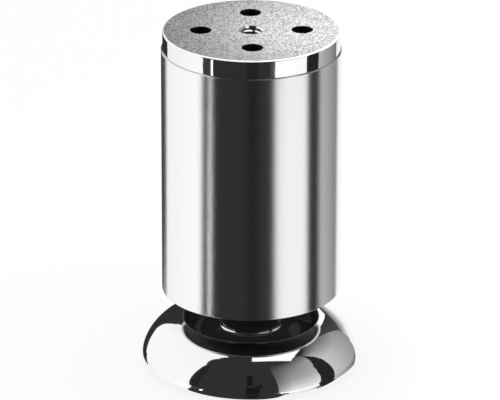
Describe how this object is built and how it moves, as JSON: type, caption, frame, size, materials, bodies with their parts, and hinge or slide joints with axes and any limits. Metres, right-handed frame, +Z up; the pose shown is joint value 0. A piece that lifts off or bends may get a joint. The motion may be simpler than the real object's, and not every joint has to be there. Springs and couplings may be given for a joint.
{
  "type": "adjustable cabinet leg",
  "caption": "Round metal cabinet leg with a screw-on top plate, a tapped centre hole and a foot on a screw thread that sets the height.",
  "frame": {"origin": "centre of the floor pad's lower face, at the height that the leg is stored at", "axes": "+Z up along the leg's axis, +X and +Y through screw holes of the top plate"},
  "size_m": [0.0612, 0.0612, 0.0992],
  "materials": {
    "blasted_zinc": "blasted matt top face with a polished rim",
    "satin_steel": "fine satin grain round the tube",
    "chromed_zinc": "mirror chrome",
    "black_nylon": "moulded, fine grain",
    "zinc_plated_steel": "bright zinc plate",
    "grey_polyethylene": "moulded, matt"
  },
  "bodies": {
    "leg": {"top_plate": "blasted_zinc", "tube": "satin_steel", "guide_plug": "black_nylon", "captive_nut": "zinc_plated_steel"},
    "pad": {"floor_pad": "grey_polyethylene"},
    "foot": {"foot": "chromed_zinc", "spindle_bolt": "zinc_plated_steel", "lock_washer": "zinc_plated_steel", "lock_nut": "zinc_plated_steel", "stop_washer": "zinc_plated_steel", "stop_nut": "zinc_plated_steel"}
  },
  "joints": [
    {"name": "foot_rise", "type": "slide", "parent": "leg", "child": "pad", "axis": [0, 0, -1], "range_m": [-0.01, 0.01]},
    {"name": "foot_turn", "type": "hinge", "parent": "pad", "child": "foot", "pos_m": [0, 0, 0], "axis": [0, 0, -1], "range_deg": [-2880, 2880]}
  ],
  "couplings": [
    {"joint": "foot_rise", "follows": "foot_turn", "m_per_rad": 0.00019894}
  ]
}
